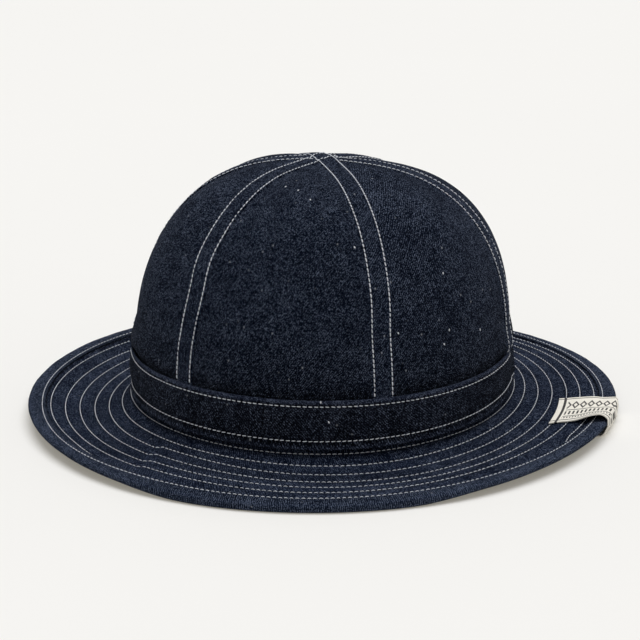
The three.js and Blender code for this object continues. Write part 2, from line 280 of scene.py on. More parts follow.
def mix(a, b, share):
    return a + (b - a) * share


def smooth(low, high, value):
    share = min(1.0, max(0.0, (value - low) / (high - low)))
    return share * share * (3 - 2 * share)


def hump(away, width):
    """1 on a line, and less and less on both sides of it."""
    return math.exp(-((away / width) ** 2))


def signed_apart(turn, other):
    return (turn - other + 180) % 360 - 180


def apart(turn, other):
    return abs(signed_apart(turn, other))


def noise_at(x, y, z):
    return noise.noise(Vector((x, y, z)))


def half_sizes(offset=0.0):
    return sizes().half_width / MM + offset, sizes().half_length / MM + offset


def way_round(offset=0.0):
    """Length once round the hat, in millimetres."""
    return math.pi * sum(half_sizes(offset))


def oval_point(turn, offset, height):
    angle = math.radians(turn)
    half_width, half_length = half_sizes(offset)
    return Vector((half_width * math.sin(angle), -half_length * math.cos(angle), height))


def oval_place(x, y):
    """The offset and turn of the ring through a point of the plan."""
    half_width, half_length = half_sizes()
    offset = math.hypot(x, y) - (half_width + half_length) / 2
    for _ in range(8):
        width = half_width + offset
        length = half_length + offset
        excess = (x / width) ** 2 + (y / length) ** 2 - 1
        offset += excess / (2 * (x**2 / width**3 + y**2 / length**3))
    turn = math.atan2(x / (half_width + offset), -y / (half_length + offset))
    return offset, math.degrees(turn)


def ring_height(ring, turn):
    _, front, left, back, right, twist = ring
    angle = math.radians(turn)
    mean = (front + left + back + right) / 4
    pitch = (front - back) / 2 * math.cos(angle)
    roll = (left - right) / 2 * math.sin(angle)
    saddle = (front + back - left - right) / 4 * math.cos(2 * angle)
    twisted = twist * math.sin(2 * angle) * (0.5 + 0.5 * math.cos(angle))
    return mean + pitch + roll + saddle + twisted


def curve_through(values, position):
    """The smooth curve through evenly placed values, by Catmull and Rom's rule."""
    last = len(values) - 1
    index = min(int(position), last - 1)
    share = min(1.0, position - index)
    a, b, c, d = (values[min(max(i, 0), last)] for i in range(index - 1, index + 3))
    slope_in = (c - a) / 2
    slope_out = (d - b) / 2
    cubic = 2 * b - 2 * c + slope_in + slope_out
    square = -3 * b + 3 * c - 2 * slope_in - slope_out
    return ((cubic * share + square) * share + slope_in) * share + b


def between_rings(rings, turn, offset, rising):
    """Height of the smooth surface through a table of rings."""
    offsets = [ring[0] for ring in rings]
    index = 1
    sign = 1 if rising else -1
    while index < len(rings) - 1 and offsets[index] * sign < offset * sign:
        index += 1
    share = (offset - offsets[index - 1]) / (offsets[index] - offsets[index - 1])
    near = [
        ring_height(rings[min(max(i, 0), len(rings) - 1)], turn)
        for i in range(index - 2, index + 2)
    ]
    return curve_through(near, 1 + min(1.0, max(0.0, share)))


def side_tuck(turn, measure):
    """One of the measures of SIDE_TUCKS, fading out away from the sides."""
    total = 0.0
    for tuck in SIDE_TUCKS:
        away = apart(turn, tuck["turn"])
        total += tuck[measure] * (1 - smooth(0, tuck["reach"], away))
    return total


def brim_height(turn, offset):
    height = between_rings(BRIM_RINGS, turn, min(offset, BOARD_EDGE), True)
    for lift in EDGE_LIFTS:
        if offset > lift["from"]:
            away = apart(turn, lift["turn"])
            out = smooth(lift["from"], BOARD_EDGE, offset)
            height += lift["rise"] * out * (1 - smooth(0, lift["reach"], away))
    return height


def board_point(turn, offset):
    """A point of the brim without its relief."""
    return oval_point(turn, offset, brim_height(turn, offset))


def band_point(turn, share):
    """A point of the hatband's face, from its lower edge, 0, to its upper edge, 1."""
    low, high = BAND_RINGS[0][0], BAND_RINGS[-1][0]
    offset = mix(low, high, share)
    height = between_rings(BAND_RINGS, turn, offset, False)
    offset -= side_tuck(turn, "foot") * (1 - share * share)
    return oval_point(turn, offset + side_tuck(turn, "belly") * smooth(0, 0.6, share), height)


def band_share(ring):
    low, high = BAND_RINGS[0][0], BAND_RINGS[-1][0]
    return (BAND_RINGS[ring][0] - low) / (high - low)


def seam_turn(index):
    return SEAMS[index % len(SEAMS)]["turn"] + 360 * (index // len(SEAMS))


@lru_cache(maxsize=None)
def seam_drift(index, share):
    return curve_through(SEAMS[index % len(SEAMS)]["drift"], 10 * min(1.0, max(0.0, share)))


def panel_place(turn, up):
    """Powers of the upright curve at a turn, and how far across its panel the turn is."""
    first_turn = SEAMS[0]["turn"]
    wrapped = (turn - first_turn) % 360 + first_turn
    index = len(SEAMS) - 1
    while SEAMS[index]["turn"] > wrapped:
        index -= 1
    start = seam_turn(index) + seam_drift(index, up)
    end = seam_turn(index + 1) + seam_drift(index + 1, up)
    share = min(1.0, max(0.0, (wrapped - start) / (end - start)))
    blend = smooth(0, 1, share)
    second = SEAMS[(index + 1) % len(SEAMS)]
    height_power = mix(SEAMS[index]["height_power"], second["height_power"], blend)
    reach_power = mix(SEAMS[index]["reach_power"], second["reach_power"], blend)
    return height_power, reach_power, share, TOP_PUFFS[index]


def dome_point(turn, share):
    """A point of the crown, from its spring at the hatband, 0, to its middle, 1."""
    height_power, reach_power, across, top_puff = panel_place(turn, round(share, 3))
    sweep = math.pi / 2 * min(share, 0.9999)
    low, high = 0.0, 2.0
    for _ in range(17):
        ray = (low + high) / 2
        if (ray * math.cos(sweep)) ** reach_power + (ray * math.sin(sweep)) ** height_power < 1:
            low = ray
        else:
            high = ray
    reach, rise = low * math.cos(sweep), low * math.sin(sweep)
    spring = ring_height(BAND_RINGS[-1], turn) + CROWN_SPRING_RISE
    rim = oval_point(turn, CROWN_OFFSET, 0)
    middle = math.sin(math.pi * across) ** 2
    shoulder = SHOULDER_PUFF * math.sin(2 * sweep) * middle
    top = top_puff * math.sin(sweep) ** 4 * math.sin(math.pi * reach) * middle
    spill = side_tuck(turn, "spill") * (1 - smooth(0, 0.09, share))
    point = rim * (reach + (shoulder + spill) / rim.length)
    point.z = mix(spring, sizes().crown_height / MM, rise) + shoulder * math.sin(sweep) + top
    return point


def foot_point(turn, share):
    """The stretch of the crown behind the hatband."""
    low = brim_height(turn, CROWN_FOOT_OFFSET - CROWN_WALL) + 2 * SEWING_GAP
    high = ring_height(BAND_RINGS[-1], turn) + SEWING_GAP
    tucked = BAND_RINGS[-1][0] - BAND_WALL - SEWING_GAP
    offset = mix(CROWN_FOOT_OFFSET, tucked, share) - side_tuck(turn, "foot") * (1 - share * share)
    return oval_point(turn, offset, mix(low, high, share))


def crown_point(turn, up):
    if up < FOOT_SHARE:
        return foot_point(turn, up / FOOT_SHARE)
    return dome_point(turn, (up - FOOT_SHARE) / (1 - FOOT_SHARE))


def over_plan(x, y):
    """The point of the top of the crown above a point of the plan."""
    half_width, half_length = half_sizes(CROWN_OFFSET)
    turn = math.degrees(math.atan2(x / half_width, -y / half_length))
    reach = min(0.98, math.hypot(x / half_width, y / half_length))
    height_power, reach_power, across, top_puff = panel_place(turn, 1.0)
    rise = (1 - reach**reach_power) ** (1 / height_power)
    spring = ring_height(BAND_RINGS[-1], turn) + CROWN_SPRING_RISE
    middle = math.sin(math.pi * across) ** 2
    top = top_puff * math.sin(math.pi * reach) * middle
    return Vector((x, y, mix(spring, sizes().crown_height / MM, rise) + top))


def seam_point(index, up, across):
    """A point beside a seam, so many millimetres towards the rising turn. Beyond 1 the seam
    runs on over the middle of the crown."""
    share = max(0.0, (min(up, 2 - up) - FOOT_SHARE) / (1 - FOOT_SHARE))
    turn = SEAMS[index]["turn"] + seam_drift(index, round(share, 3))
    centre = crown_point(turn, min(up, 2 - up))
    reach = math.hypot(centre.x, centre.y)
    if reach > 30:
        width = (crown_point(turn + 0.5, up) - crown_point(turn - 0.5, up)).length
        by_turn = crown_point(turn + max(-25, min(25, across / width)), up)
    if reach > 60:
        return by_turn
    angle = math.radians(turn)
    outward = Vector((math.sin(angle), -math.cos(angle) * 1.1, 0)).normalized()
    sideways = Vector((-outward.y, outward.x, 0))
    if up > 1:
        centre = -centre
    by_plan = over_plan(centre.x + sideways.x * across, centre.y + sideways.y * across)
    if reach <= 30:
        return by_plan
    return by_plan.lerp(by_turn, smooth(30, 60, reach))


def over_long_lap(point):
    """How far a point of the plan lies to the side of the lap that runs over the top."""
    angle = math.radians(SEAMS[LONG_SEAM[0]]["turn"])
    outward = Vector((math.sin(angle), -math.cos(angle) * 1.1)).normalized()
    return point.y * outward.x - point.x * outward.y


def apex_rise(point):
    """Where the seams meet, the many layers of cloth stand up in a low knoll."""
    return 0.7 * hump(math.hypot(point.x, point.y), 10)


def row_shift(row, turn):
    """How far a row of the brim's stitching has stepped inwards at a turn."""
    shift = side_tuck(turn, "row") * (1 - smooth(6, 38, row)) if row > 0 else 0.0
    for step in ROW_STEPS:
        if step["row"] == row:
            place = signed_apart(turn, step["turn"])
            over = smooth(-1.1, 1.1, place)
            shift += step["before"] * smooth(-42, -10, place) * (1 - over)
            shift += step["after"] * (over - smooth(6, 40, place))
    if row == HIDDEN_ROW["row"]:
        place = signed_apart(turn, 0)
        start, end = HIDDEN_ROW["from"], HIDDEN_ROW["until"]
        hidden = smooth(start - HIDDEN_ROW["ease_in"], start, place)
        hidden *= 1 - smooth(end, end + HIDDEN_ROW["ease_out"], place)
        shift += HIDDEN_ROW["shift"] * hidden
    return shift


def wander(turn, seed, size):
    """A slow, smooth wandering round the hat, as of a hand that guides the cloth."""
    angle = math.radians(turn)
    return size * noise.noise(Vector((2.2 * math.cos(angle), 2.2 * math.sin(angle), seed)))


def puff_between(rows, value, turn):
    """0 on a row of stitching and 1 half way between two rows."""
    for low, high in zip(rows, rows[1:]):
        start = low + row_shift(low, turn)
        end = high + row_shift(high, turn)
        if start <= value <= end:
            return math.sin(math.pi * (value - start) / (end - start)) ** 0.6
    return 0.0


def brim_point(turn, offset):
    rows = BRIM_ROWS + (BINDING_ROW,)
    puff = puff_between(rows, offset, turn)
    angle = math.radians(turn)
    circle = Vector((math.cos(angle), math.sin(angle), 0))
    gather = noise.noise(circle * 42 + Vector((0, 0, offset * 0.12)))
    slow = noise.noise(circle * 11 + Vector((0, 0, offset * 0.06 + 40)))
    lift = 0.50 * puff - 0.22 + (0.06 + 0.20 * puff) * gather + 0.25 * puff * slow
    return oval_point(turn, offset, brim_height(turn, offset) + lift)


def binding_section(turn):
    """The binding's face in section, from its inner edge below, round, to the one above."""
    def above(offset, lift):
        return oval_point(turn, offset, brim_height(turn, offset) + lift)

    def under(offset):
        board = brim_height(turn, offset)
        return mix(max(0.0, board - 3.3), board - BRIM_BOARD - 0.3, smooth(2.9, 4.4, board))

    top = brim_height(turn, BOARD_EDGE) + BINDING_SKIN
    low = under(BOARD_EDGE)
    middle = mix(low, top, 0.52)
    points = [
        oval_point(turn, BINDING_INNER, under(BINDING_INNER)),
        oval_point(turn, 38.6, under(38.6)),
        oval_point(turn, BINDING_FLAT, low),
        oval_point(turn, 42.2, low),
    ]
    for step in range(9):
        angle = math.radians(-80 + 160 * step / 8)
        bulge = (BINDING_OUTER - 42.9) * math.cos(angle)
        height = mix(middle, top if angle > 0 else low, abs(math.sin(angle)))
        points.append(oval_point(turn, 42.9 + bulge, height))
    points += [
        above(42.0, BINDING_SKIN),
        above(41.0, BINDING_SKIN + 0.12),
        above(40.0, BINDING_SKIN + 0.14),
        above(39.0, BINDING_SKIN + 0.05),
        above(BINDING_ROW, BINDING_SKIN - 0.18),
        above(37.7, BINDING_SKIN - 0.02),
        above(37.25, BINDING_SKIN),
        above(BINDING_INNER, BINDING_SKIN - 0.15),
        above(BINDING_INNER - 0.12, BINDING_SKIN - 0.55),
        above(BINDING_INNER, SEWING_GAP),
    ]
    return points


def along_polyline(points, share):
    position = share * (len(points) - 1)
    index = min(int(position), len(points) - 2)
    return points[index].lerp(points[index + 1], position - index)


def label_plan(inward, sideways):
    axis = Vector((math.cos(math.radians(LABEL_SKEW)), math.sin(math.radians(LABEL_SKEW))))
    across = Vector((-axis.y, axis.x))
    edge = Vector(LABEL_MIDDLE) + across * sideways
    for _ in range(4):
        edge += axis * (BINDING_OUTER - oval_place(edge.x, edge.y)[0])
    return edge - axis * inward


def label_top(inward, sideways):
    plan = label_plan(inward, sideways)
    offset, turn = oval_place(plan.x, plan.y)
    board = brim_height(turn, offset)
    binding = (SEWING_GAP + BINDING_WALL) * smooth(LABEL_BRIDGE_START, BINDING_INNER, offset)
    near = 0.5 - sideways / LABEL_WIDTH
    lift = LABEL_LIFT * near**2 * hump(inward - LABEL_LIFT_MIDDLE, LABEL_LIFT_SPREAD)
    rounding = min(1.0, max(0.0, (LABEL_ROUNDING - inward) / LABEL_ROUNDING))
    lift *= math.sqrt(1 - 0.9 * rounding * rounding)
    return Vector((plan.x, plan.y, board + binding + SEWING_GAP + LABEL_WALL + lift))


def label_under(inward, sideways):
    plan = label_plan(inward, sideways)
    offset, turn = oval_place(plan.x, plan.y)
    sewn = brim_height(turn, min(offset, BINDING_INNER)) - BRIM_BOARD - SEWING_GAP - LABEL_WALL
    height = mix(0.0, max(sewn - 0.5, 0.0), smooth(9, LABEL_UNDER_LENGTH, inward))
    return Vector((plan.x, plan.y, height))


def label_point(along, sideways):
    """A point of the label's face: along runs from its end below, past 0 at the fold, to
    its end above, in millimetres."""
    near = 0.5 - sideways / LABEL_WIDTH
    if along <= -1.5:
        inward = -along - 1.5
        return label_under(inward + LABEL_CURL * near * (1 - smooth(0, 9, inward)), sideways)
    if along >= 1.5:
        return label_top(along - 1.5, sideways)
    high = label_top(0, sideways)
    low = label_under(0, sideways)
    angle = math.pi / 2 * along / 1.5
    curl = LABEL_CURL * near * (0.5 - 0.5 * math.sin(angle)) ** 3
    plan = label_plan(curl - (LABEL_OVERHANG + LABEL_WALL) * math.cos(angle), sideways)
    return Vector((plan.x, plan.y, mix(low.z, high.z, 0.5 + 0.5 * math.sin(angle))))


# Meshes


def numeric_normal(place, a, b, step_a, step_b):
    across = place(a + step_a, b) - place(a - step_a, b)
    up = place(a, b + step_b) - place(a, b - step_b)
    return across.cross(up).normalized()


def new_piece(name, bm):
    """An object in the scene from a finished bmesh."""
    mesh = bpy.data.meshes.new(name)
    bm.to_mesh(mesh)
    bm.free()
    piece = bpy.data.objects.new(name, mesh)
    bpy.context.scene.collection.objects.link(piece)
    return piece


def cloth_sheet(name, columns, rows, place, weave, relief=None, closed=False, shade=None):
    """A sheet of cloth from a grid. place turns shares of the grid into a point, weave into
    millimetres along the cloth's own yarns, relief into a height above the sheet."""
    bm = bmesh.new()
    bmesh.ops.create_grid(bm, x_segments=columns, y_segments=rows, size=1)
    yarns = bm.loops.layers.uv.new("weave")
    # Tone of each point, together with the shade and highlights that the shade functions paint
    # into it
    tone_and_shade = bm.verts.layers.float.new("tone_and_shade")
    shares = {}
    points = {}
    for vert in bm.verts:
        column = round((vert.co.x + 1) / 2 * columns)
        row = round((vert.co.y + 1) / 2 * rows)
        shares[vert] = (column, row)
        points[column, row] = place(column / columns, row / rows)
    for face in bm.faces:
        for loop in face.loops:
            column, row = shares[loop.vert]
            loop[yarns].uv = weave(column / columns, row / rows)
        face.smooth = True
    for vert, (column, row) in shares.items():
        point = points[column, row]
        if shade:
            vert[tone_and_shade] = shade(column / columns, row / rows)
        if relief:
            height = relief(column / columns, row / rows)
            if closed:
                right = points[(column + 1) % columns, row]
                left = points[(column - 1) % columns, row]
            else:
                right = points[min(column + 1, columns), row]
                left = points[max(column - 1, 0), row]
            up = points[column, min(row + 1, rows)]
            down = points[column, max(row - 1, 0)]
            normal = (right - left).cross(up - down)
            if normal.length > 1e-9:
                point = point + normal.normalized() * height
        vert.co = point * MM
    if closed:
        bmesh.ops.remove_doubles(bm, verts=bm.verts, dist=1e-7)
    return new_piece(name, bm)


def give_wall(piece, thickness, rounding=0.0, reverse=False):
    wall = piece.modifiers.new("wall", "SOLIDIFY")
    wall.thickness = thickness * MM
    wall.offset = -1
    if reverse:
        wall.material_offset = 1
    if rounding:
        edge = piece.modifiers.new("rounded edge", "BEVEL")
        edge.width = rounding * MM
        edge.segments = 2
        edge.limit_method = "ANGLE"
        edge.angle_limit = math.radians(50)


def dress(piece, slot, *materials, nodes=()):
    for material in materials:
        piece.data.materials.append(material)
    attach(piece, "root")
    if nodes:
        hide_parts(*nodes)


def stitch_places(place, draw, slant, samples, spacing):
    """Middles and directions of the stitches along a path. place turns a share of the path
    into a point and a normal."""
    path = [place(step / samples) for step in range(samples + 1)]
    travelled = lengths_along([point for point, _ in path])
    count = max(1, round(travelled[-1] / (sizes().stitch_pitch / MM * spacing)))
    pitch = travelled[-1] / count
    places = []
    index = 0
    for stitch in range(count):
        goal = (stitch + 0.5 + draw.uniform(-0.05, 0.05)) * pitch
        while index < samples - 1 and travelled[index + 1] < goal:
            index += 1
        share = (goal - travelled[index]) / max(1e-9, travelled[index + 1] - travelled[index])
        centre = path[index][0].lerp(path[index + 1][0], share)
        normal = path[index][1].lerp(path[index + 1][1], share).normalized()
        ahead = (path[index + 1][0] - path[index][0]).normalized()
        side = normal.cross(ahead).normalized()
        turned = slant + draw.uniform(-0.05, 0.05)
        forward = (ahead * math.cos(turned) + side * math.sin(turned)).normalized()
        places.append((centre, forward, normal.cross(forward).normalized(), normal))
    return places


def sew(name, rows, samples=240, slimness=1.0, spacing=1.0, drawn=1.0):
    """One piece of thread work from rows of (place, slant)."""
    draw = random.Random(name + str(SEED))
    places = []
    for place, slant in rows:
        places += stitch_places(place, draw, slant, samples, spacing)
    bm = bmesh.new()
    number = bm.verts.layers.int.new("stitch number")
    corner = bm.verts.layers.int.new("stitch corner")
    bmesh.ops.create_uvsphere(bm, u_segments=6, v_segments=6, radius=1)
    shape = [vert.co.copy() for vert in bm.verts]
    for index, vert in enumerate(bm.verts):
        vert[corner] = index
    made = 1
    while made < len(places):
        more = min(made, len(places) - made)
        chosen = [vert for vert in bm.verts if vert[number] < more]
        chosen += [edge for edge in bm.edges if edge.verts[0][number] < more]
        chosen += [face for face in bm.faces if face.verts[0][number] < more]
        for copy in bmesh.ops.duplicate(bm, geom=chosen)["geom"]:
            if isinstance(copy, bmesh.types.BMVert):
                copy[number] += made
        made += more
    thread = sizes().thread_width / MM / 2 * slimness
    reach = sizes().stitch_length / MM / 2 * drawn
    builds = [(reach * draw.uniform(0.92, 1.06), thread * draw.uniform(0.9, 1.12)) for _ in places]
    for vert in bm.verts:
        centre, forward, side, normal = places[vert[number]]
        half, width = builds[vert[number]]
        local = shape[vert[corner]]
        run = math.copysign(abs(local.z) ** 0.8, local.z)
        ring = math.hypot(local.x, local.y)
        girth = min(1.0, 1.25 * ring) / max(ring, 1e-6) * width
        arch = 0.30 * (1 - run * run) - 0.12
        point = centre + forward * run * half + side * local.x * girth
        vert.co = (point + normal * (local.y * girth * 0.8 + arch)) * MM
    bm.verts.layers.int.remove(corner)
    bm.verts.layers.int.remove(bm.verts.layers.int["stitch number"])
    for face in bm.faces:
        face.smooth = True
    return new_piece(name, bm)


# Shader effects


class Nodes:
    """Short ways to add and join the nodes of one tree."""

    def __init__(self, tree):
        self.tree = tree

    def add(self, kind, **settings):
        node = self.tree.nodes.new(kind)
        for name, value in settings.items():
            setattr(node, name, value)
        return node

    def feed(self, socket, value):
        if isinstance(value, bpy.types.NodeSocket):
            self.tree.links.new(value, socket)
        else:
            socket.default_value = value

    def math(self, operation, *values):
        node = self.add("ShaderNodeMath", operation=operation)
        for socket, value in zip(node.inputs, values):
            self.feed(socket, value)
        return node.outputs[0]

    def times(self, first, second):
        return self.math("MULTIPLY", first, second)

    def plus(self, first, second):
        return self.math("ADD", first, second)

    def minus(self, first, second):
        return self.math("SUBTRACT", first, second)

    def higher(self, first, second):
        return self.math("MAXIMUM", first, second)

    def away(self, value, middle):
        """How far a value is from the middle, either way."""
        return self.math("ABSOLUTE", self.minus(value, middle))

    def scaled(self, vector, factors):
        node = self.add("ShaderNodeVectorMath", operation="MULTIPLY")
        self.feed(node.inputs[0], vector)
        node.inputs[1].default_value = factors
        return node.outputs[0]

    def noise(self, vector, scale, detail=2.0, roughness=0.5):
        node = self.add("ShaderNodeTexNoise", noise_dimensions="3D")
        self.feed(node.inputs["Vector"], vector)
        node.inputs["Scale"].default_value = scale
        node.inputs["Detail"].default_value = detail
        node.inputs["Roughness"].default_value = roughness
        return node.outputs["Fac"]

    def cells(self, vector, scale, output="Color"):
        node = self.add("ShaderNodeTexVoronoi")
        self.feed(node.inputs["Vector"], vector)
        node.inputs["Scale"].default_value = scale
        return node.outputs[output]

    def range(self, value, low, high, to_low=0.0, to_high=1.0):
        node = self.add("ShaderNodeMapRange", clamp=True)
        names = ("Value", "From Min", "From Max", "To Min", "To Max")
        for name, setting in zip(names, (value, low, high, to_low, to_high)):
            self.feed(node.inputs[name], setting)
        return node.outputs["Result"]

    def blend(self, kind, share, first, second):
        node = self.add("ShaderNodeMix", data_type="RGBA", blend_type=kind, clamp_factor=True)
        self.feed(node.inputs[0], share)
        self.feed(node.inputs[6], first)
        self.feed(node.inputs[7], second)
        return node.outputs[2]

    def split(self, vector):
        node = self.add("ShaderNodeSeparateXYZ")
        self.feed(node.inputs[0], vector)
        return node.outputs

    def red(self, colour):
        node = self.add("ShaderNodeSeparateColor")
        self.feed(node.inputs[0], colour)
        return node.outputs[0]


def new_group(name, inputs, outputs):
    tree = bpy.data.node_groups.new(name, "ShaderNodeTree")
    for socket, kind, default in inputs:
        made = tree.interface.new_socket(name=socket, in_out="INPUT", socket_type=kind)
        if default is not None:
            made.default_value = default
    for socket, kind in outputs:
        tree.interface.new_socket(name=socket, in_out="OUTPUT", socket_type=kind)
    nodes = Nodes(tree)
    return tree, nodes, nodes.add("NodeGroupInput").outputs, nodes.add("NodeGroupOutput").inputs


def denim_group():
    """Indigo twill: pale weft that shows between the dark yarns, in diagonal ribs, streaks,
    faded mottling and scattered flecks."""
    name = "denim twill"
    if name in bpy.data.node_groups:
        return bpy.data.node_groups[name]
    tree, nodes, given, out = new_group(
        name,
        (
            ("Yarns", "NodeSocketVector", None),
            ("Indigo", "NodeSocketColor", (0.01, 0.01, 0.02, 1)),
            ("Weft", "NodeSocketColor", (0.2, 0.2, 0.25, 1)),
            ("Weft Share", "NodeSocketFloat", 0.03),
            ("Contrast", "NodeSocketFloat", 1.0),
            ("Rib Tilt", "NodeSocketFloat", -0.84),
            ("Rib Pitch", "NodeSocketFloat", 1.16),
            ("Rib Depth", "NodeSocketFloat", 0.5),
            ("Tone", "NodeSocketFloat", 0.0),
            ("Flecks", "NodeSocketFloat", 1.0),
        ),
        (
            ("Colour", "NodeSocketColor"),
            ("Roughness", "NodeSocketFloat"),
            ("Height", "NodeSocketFloat"),
        ),
    )
    yarns = given["Yarns"]
    axes = nodes.split(yarns)
    waver = nodes.noise(yarns, 0.35, 2.0)
    slope = nodes.times(axes[1], given["Rib Tilt"])
    phase = nodes.plus(nodes.plus(axes[0], slope), nodes.times(waver, 1.6))
    turns = nodes.times(nodes.math("DIVIDE", phase, given["Rib Pitch"]), 2 * math.pi)
    ribs = nodes.math("SINE", turns)
    grain = nodes.noise(nodes.scaled(yarns, (3.6, 3.0, 1)), 1.0, 2.0, 0.6)
    crossing = nodes.red(nodes.cells(nodes.scaled(yarns, (3.2, 2.5, 1)), 1.0))
    streak = nodes.noise(nodes.scaled(yarns, (1.7, 0.11, 1)), 1.0, 3.0, 0.6)
    weft_streak = nodes.noise(nodes.scaled(yarns, (0.14, 1.6, 1)), 1.0, 2.0, 0.6)
    mottle = nodes.noise(yarns, 0.13, 1.5, 0.5)
    cloud = nodes.noise(yarns, 0.025, 3.0, 0.6)
    total = nodes.times(nodes.minus(grain, 0.5), 4.5)
    for value, middle, weight in (
        (crossing, 0.5, 3.2),
        (ribs, 0.0, given["Rib Depth"]),
        (streak, 0.5, 0.9),
        (weft_streak, 0.5, 0.8),
        (mottle, 0.5, 1.0),
        (cloud, 0.5, 1.1),
    ):
        part = nodes.times(nodes.minus(value, middle), weight)
        total = nodes.plus(total, part)
    total = nodes.times(total, given["Contrast"])
    # Tone carries each piece's own tone together with its painted shade and highlights
    tone_and_shade = nodes.math("EXPONENT", given["Tone"])
    show = nodes.times(nodes.math("EXPONENT", total), given["Weft Share"])
    show = nodes.math("MINIMUM", nodes.times(show, tone_and_shade), 0.55)
    depth = nodes.times(nodes.math("EXPONENT", nodes.times(total, 0.22)), tone_and_shade)
    dark = nodes.add("ShaderNodeVectorMath", operation="SCALE")
    nodes.feed(dark.inputs[0], given["Indigo"])
    nodes.feed(dark.inputs["Scale"], depth)
    colour = nodes.blend("MIX", show, dark.outputs[0], given["Weft"])
    place = nodes.scaled(yarns, (0.62, 0.48, 1))
    rare = nodes.range(nodes.red(nodes.cells(place, 1.0)), 0.975, 1.0)
    spot = nodes.range(nodes.cells(place, 1.0, output="Distance"), 0.34, 0.10)
    pale = nodes.times(nodes.times(rare, spot), given["Flecks"])
    pale = nodes.times(pale, 0.8)
    nodes.feed(out["Colour"], nodes.blend("MIX", pale, colour, (0.36, 0.38, 0.42, 1)))
    nodes.feed(out["Roughness"], nodes.range(grain, 0.3, 0.7, 0.82, 0.97))
    height = nodes.plus(nodes.times(grain, 0.8), nodes.times(ribs, 0.10))
    nodes.feed(out["Height"], nodes.plus(height, nodes.times(crossing, 0.35)))
    return tree


def new_material(name):
    old = bpy.data.materials.get(name)
    if old:
        return old, None, None
    material = bpy.data.materials.new(name)
    material.use_nodes = True
    tree = material.node_tree
    tree.nodes.clear()
    nodes = Nodes(tree)
    surface = nodes.add("ShaderNodeBsdfPrincipled")
    output = nodes.add("ShaderNodeOutputMaterial")
    tree.links.new(surface.outputs[0], output.inputs[0])
    return material, nodes, surface


def four(colour, share=1.0):
    """A colour as a shader socket takes it, made darker by the share."""
    return tuple(channel * share for channel in colour) + (1.0,)


def raise_surface(nodes, surface, height, strength, distance):
    bump = nodes.add("ShaderNodeBump")
    bump.inputs["Strength"].default_value = strength
    bump.inputs["Distance"].default_value = distance
    nodes.feed(bump.inputs["Height"], height)
    nodes.feed(surface.inputs["Normal"], bump.outputs[0])


def denim(name, indigo, show=0.0100, contrast=2.5, tilt=-0.84, pitch=1.16, depth=0.6,
          flecks=0.8, turned=False):
    material, nodes, surface = new_material(name)
    if nodes is None:
        return material
    yarns = nodes.add("ShaderNodeUVMap", uv_map="weave").outputs[0]
    if turned:
        turn = nodes.add("ShaderNodeMapping")
        turn.inputs["Rotation"].default_value = (0, 0, math.pi / 2)
        nodes.feed(turn.inputs[0], yarns)
        yarns = turn.outputs[0]
    tone_and_shade = nodes.add("ShaderNodeAttribute", attribute_name="tone_and_shade").outputs["Fac"]
    group = nodes.add("ShaderNodeGroup", node_tree=denim_group())
    for socket, value in (
        ("Yarns", yarns), ("Indigo", four(indigo)), ("Weft", four(colours().weft)),
        ("Weft Share", show), ("Contrast", contrast), ("Rib Tilt", tilt), ("Rib Pitch", pitch),
        ("Rib Depth", depth), ("Tone", tone_and_shade), ("Flecks", flecks),
    ):
        nodes.feed(group.inputs[socket], value)
    nodes.feed(surface.inputs["Base Color"], group.outputs["Colour"])
    nodes.feed(surface.inputs["Roughness"], group.outputs["Roughness"])
    raise_surface(nodes, surface, group.outputs["Height"], 0.45, 0.0004)
    surface.inputs["Specular IOR Level"].default_value = 0.01
    surface.inputs["Sheen Weight"].default_value = 0.008
    surface.inputs["Sheen Roughness"].default_value = 0.6
    surface.inputs["Sheen Tint"].default_value = (0.7, 0.78, 1.0, 1.0)
    return material


def thread_material():
    material, nodes, surface = new_material("sewing thread")
    if nodes is None:
        return material
    place = nodes.add("ShaderNodeTexCoord").outputs["Object"]
    fuzz = nodes.noise(place, 1400.0, 3.0, 0.6)
    wear = nodes.noise(place, 90.0, 2.0, 0.5)
    thread = colours().thread
    twist = nodes.range(fuzz, 0.3, 0.7)
    shade = nodes.blend("MIX", twist, four(thread, 0.62), four(thread))
    worn = nodes.blend("MIX", nodes.range(wear, 0.35, 0.7), shade, four(thread, 0.8))
    nodes.feed(surface.inputs["Base Color"], worn)
    nodes.feed(surface.inputs["Roughness"], nodes.range(fuzz, 0.3, 0.7, 0.7, 0.9))
    surface.inputs["Specular IOR Level"].default_value = 0.25
    return material


def stripe(nodes, value, middle, half_width, softness=0.12):
    """1 on a line and 0 away from it."""
    away = nodes.away(value, middle)
    return nodes.range(away, half_width + softness, half_width)


